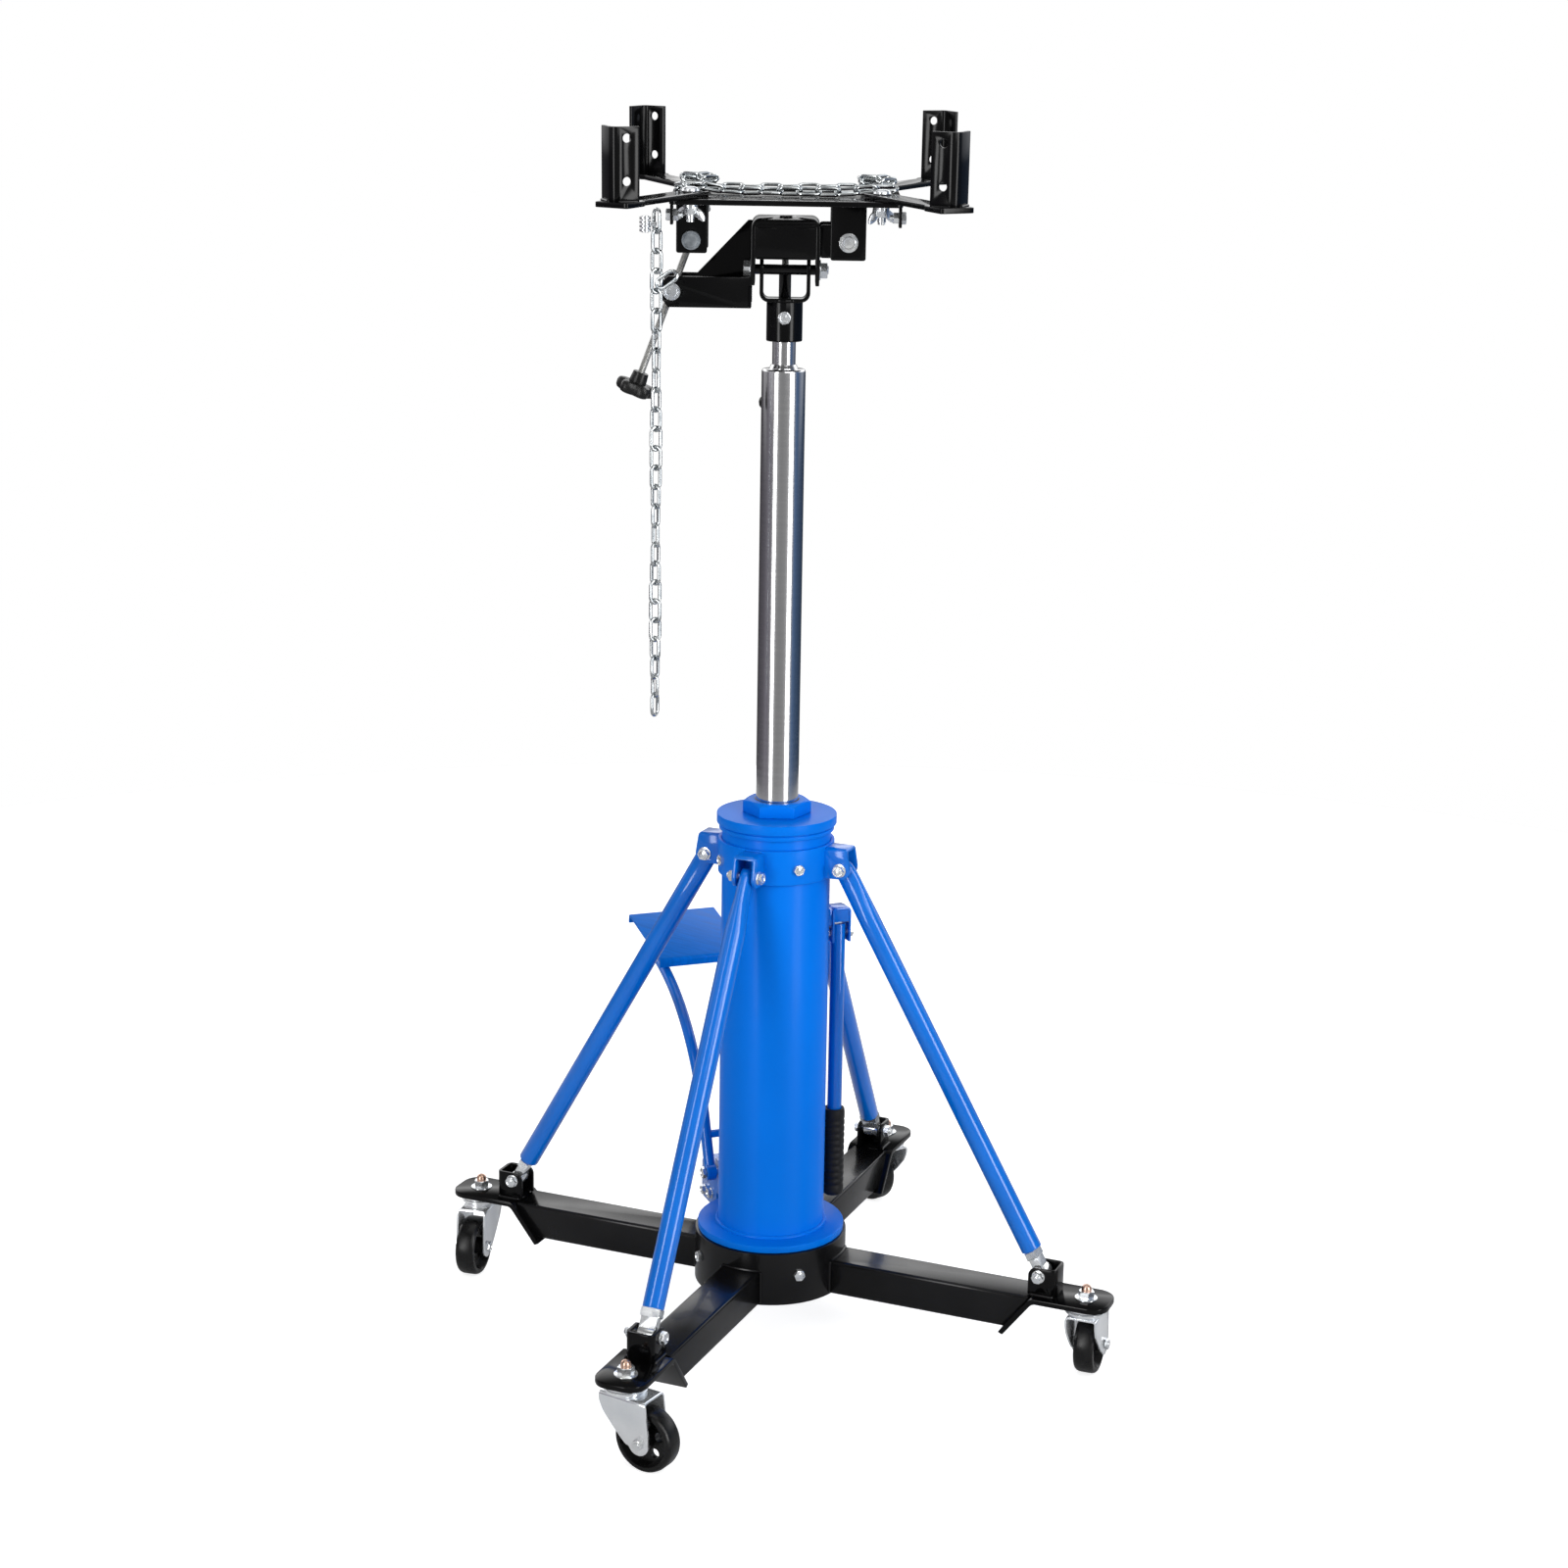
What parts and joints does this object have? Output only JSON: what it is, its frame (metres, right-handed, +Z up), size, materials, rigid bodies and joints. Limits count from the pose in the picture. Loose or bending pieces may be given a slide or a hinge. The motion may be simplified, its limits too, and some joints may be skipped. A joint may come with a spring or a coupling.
{
  "type": "transmission jack",
  "caption": "Upright two-stage hydraulic transmission jack: castored cross base, braced column, telescoping rams, foot pump and tilting saddle with swinging arms.",
  "frame": {"origin": "on the floor, on the column's axis", "axes": "+Z up; +X along the right leg and +Y along the back leg"},
  "size_m": [0.882, 0.8944, 1.481],
  "materials": {
    "blue_paint": "gloss",
    "black_paint": "gloss",
    "chrome": "polished",
    "zinc": "bright zinc plate",
    "knob_plastic": "gloss",
    "grip_rubber": "matte",
    "wheel_rubber": "matte"
  },
  "bodies": {
    "column": {"base_hub": "black_paint", "leg_right": "black_paint", "leg_back": "black_paint", "leg_left": "black_paint", "leg_front": "black_paint", "brace_right": "blue_paint", "brace_back": "blue_paint", "brace_left": "blue_paint", "brace_front": "blue_paint", "brace_end_right": "zinc", "brace_end_back": "zinc", "brace_end_left": "zinc", "brace_end_front": "zinc", "reservoir": "blue_paint", "column_cap": "blue_paint", "gland_nut": "blue_paint", "brace_collar": "blue_paint", "pump_body": "blue_paint", "lever_pin": "zinc", "handle_bracket": "blue_paint", "handle_bolt": "zinc"},
    "lower_ram": {"lower_ram": "chrome"},
    "upper_ram": {"upper_ram": "chrome"},
    "head": {"head_yoke": "black_paint", "yoke_bolt": "zinc"},
    "bracket": {"tilt_bracket": "black_paint", "saddle_pivot_bolt": "zinc"},
    "saddle": {"saddle_plate": "black_paint", "chain_saddle": "zinc"},
    "chain": {"chain_hanging": "zinc"},
    "side_lower": {"side_lower_trunnion": "zinc"},
    "side_upper": {"side_upper_trunnion": "zinc"},
    "side_screw": {"side_tilt_screw": "zinc", "side_tilt_knob": "knob_plastic"},
    "rear_lower": {"rear_lower_trunnion": "zinc"},
    "rear_upper": {"rear_upper_trunnion": "zinc"},
    "rear_screw": {"rear_tilt_screw": "zinc", "rear_tilt_knob": "knob_plastic"},
    "pedal": {"pedal_lever": "blue_paint", "pedal_tread": "blue_paint"},
    "plunger": {"pump_plunger": "zinc"},
    "valve": {"release_valve": "zinc"},
    "handle": {"handle_tube": "blue_paint", "handle_grip": "grip_rubber"},
    "arm_right_rear": {"saddle_arm_right_rear": "black_paint"},
    "arm_right_front": {"saddle_arm_right_front": "black_paint"},
    "arm_left_rear": {"saddle_arm_left_rear": "black_paint"},
    "arm_left_front": {"saddle_arm_left_front": "black_paint"},
    "fork_right": {"castor_fork_right": "zinc", "castor_axle_right": "zinc"},
    "wheel_right": {"castor_wheel_right": "wheel_rubber"},
    "fork_back": {"castor_fork_back": "zinc", "castor_axle_back": "zinc"},
    "wheel_back": {"castor_wheel_back": "wheel_rubber"},
    "fork_left": {"castor_fork_left": "zinc", "castor_axle_left": "zinc"},
    "wheel_left": {"castor_wheel_left": "wheel_rubber"},
    "fork_front": {"castor_fork_front": "zinc", "castor_axle_front": "zinc"},
    "wheel_front": {"castor_wheel_front": "wheel_rubber"}
  },
  "joints": [
    {"name": "lower_ram_slide", "type": "slide", "parent": "column", "child": "lower_ram", "axis": [0, 0, 1], "range_m": [-0.46, 0]},
    {"name": "upper_ram_slide", "type": "slide", "parent": "lower_ram", "child": "upper_ram", "axis": [0, 0, 1], "range_m": [0, 0.5]},
    {"name": "head_swivel", "type": "hinge", "parent": "upper_ram", "child": "head", "pos_m": [0, 0, 1.24], "axis": [0, 0, 1], "continuous": true},
    {"name": "bracket_tilt", "type": "hinge", "parent": "head", "child": "bracket", "pos_m": [0, 0, 1.3], "axis": [0.9222, 0.3867, 0], "range_deg": [-10, 10]},
    {"name": "rear_trunnion_turn", "type": "hinge", "parent": "head", "child": "rear_lower", "pos_m": [-0.02398, 0.05718, 1.247], "axis": [0.9222, 0.3867, 0], "range_deg": [-3.2, 3.2]},
    {"name": "rear_screw_slide", "type": "slide", "parent": "rear_lower", "child": "rear_upper", "axis": [0.1911, -0.4557, 0.8694], "range_m": [-0.006, 0.006]},
    {"name": "rear_knob_spin", "type": "hinge", "parent": "rear_upper", "child": "rear_screw", "pos_m": [-0.02398, 0.05718, 1.247], "axis": [0.1911, -0.4557, 0.8694], "continuous": true},
    {"name": "saddle_tilt", "type": "hinge", "parent": "bracket", "child": "saddle", "pos_m": [0.06653, 0.02571, 1.33394], "axis": [-0.386, 0.9206, 0.0593], "range_deg": [-3, 7]},
    {"name": "side_trunnion_turn", "type": "hinge", "parent": "bracket", "child": "side_lower", "pos_m": [-0.11952, -0.04856, 1.27574], "axis": [-0.386, 0.9206, 0.0593], "range_deg": [-6, 3]},
    {"name": "side_screw_slide", "type": "slide", "parent": "side_lower", "child": "side_upper", "axis": [0.3446, 0.0843, 0.9349], "range_m": [-0.01, 0.022]},
    {"name": "side_knob_spin", "type": "hinge", "parent": "side_upper", "child": "side_screw", "pos_m": [-0.11952, -0.04856, 1.27574], "axis": [0.3446, 0.0843, 0.9349], "continuous": true},
    {"name": "arm_right_rear_swing", "type": "hinge", "parent": "saddle", "child": "arm_right_rear", "pos_m": [0.07946, 0.08721, 1.39091], "axis": [0.0229, -0.0547, 0.9982], "range_deg": [-30, 30]},
    {"name": "arm_right_front_swing", "type": "hinge", "parent": "saddle", "child": "arm_right_front", "pos_m": [0.12192, -0.01406, 1.38438], "axis": [0.0229, -0.0547, 0.9982], "range_deg": [-30, 30]},
    {"name": "arm_left_rear_swing", "type": "hinge", "parent": "saddle", "child": "arm_left_rear", "pos_m": [-0.11789, 0.00445, 1.39091], "axis": [0.0229, -0.0547, 0.9982], "range_deg": [-30, 30]},
    {"name": "arm_left_front_swing", "type": "hinge", "parent": "saddle", "child": "arm_left_front", "pos_m": [-0.07543, -0.09681, 1.38438], "axis": [0.0229, -0.0547, 0.9982], "range_deg": [-30, 30]},
    {"name": "chain_swing", "type": "hinge", "parent": "saddle", "child": "chain", "pos_m": [-0.10895, -0.12159, 1.366], "axis": [-0.3867, 0.9222, 0], "range_deg": [-20, 20]},
    {"name": "castor_right_swivel", "type": "hinge", "parent": "column", "child": "fork_right", "pos_m": [0.41, 0, 0.095], "axis": [0, 0, 1], "continuous": true},
    {"name": "castor_right_roll", "type": "hinge", "parent": "fork_right", "child": "wheel_right", "pos_m": [0.40895, 0.02998, 0.0375], "axis": [-0.9994, -0.0349, 0], "continuous": true},
    {"name": "castor_back_swivel", "type": "hinge", "parent": "column", "child": "fork_back", "pos_m": [0, 0.41, 0.095], "axis": [0, 0, 1], "continuous": true},
    {"name": "castor_back_roll", "type": "hinge", "parent": "fork_back", "child": "wheel_back", "pos_m": [-0.02598, 0.425, 0.0375], "axis": [-0.5, -0.866, 0], "continuous": true},
    {"name": "castor_left_swivel", "type": "hinge", "parent": "column", "child": "fork_left", "pos_m": [-0.41, 0, 0.095], "axis": [0, 0, 1], "continuous": true},
    {"name": "castor_left_roll", "type": "hinge", "parent": "fork_left", "child": "wheel_left", "pos_m": [-0.40582, -0.02971, 0.0375], "axis": [0.9903, 0.1392, 0], "continuous": true},
    {"name": "castor_front_swivel", "type": "hinge", "parent": "column", "child": "fork_front", "pos_m": [0, -0.41, 0.095], "axis": [0, 0, 1], "continuous": true},
    {"name": "castor_front_roll", "type": "hinge", "parent": "fork_front", "child": "wheel_front", "pos_m": [0.02963, -0.41469, 0.0375], "axis": [0.1564, 0.9877, 0], "continuous": true},
    {"name": "pedal_press", "type": "hinge", "parent": "column", "child": "pedal", "pos_m": [-0.06367, 0.0671, 0.168], "axis": [-0.7254, -0.6884, 0], "range_deg": [0, 40], "stiffness_Nm_per_rad": 8, "springref_deg": -34.38},
    {"name": "plunger_stroke", "type": "slide", "parent": "column", "child": "plunger", "axis": [0, 0, 1], "range_m": [-0.0215, 0.0005]},
    {"name": "valve_turn", "type": "hinge", "parent": "column", "child": "valve", "pos_m": [-0.10669, 0.11243, 0.125], "axis": [-0.6884, 0.7254, 0], "range_deg": [0, 90]},
    {"name": "handle_swing", "type": "hinge", "parent": "column", "child": "handle", "pos_m": [0.05904, 0.05904, 0.5005], "axis": [0.7071, 0.7071, 0], "range_deg": [-70, 70]}
  ],
  "couplings": [
    {"joint": "rear_trunnion_turn", "follows": "bracket_tilt", "ratio": 0.3},
    {"joint": "rear_screw_slide", "follows": "bracket_tilt", "m_per_rad": 0.0275},
    {"joint": "side_trunnion_turn", "follows": "saddle_tilt", "ratio": -0.8},
    {"joint": "side_screw_slide", "follows": "saddle_tilt", "m_per_rad": 0.168},
    {"joint": "plunger_stroke", "follows": "pedal_press", "m_per_rad": -0.0301}
  ]
}
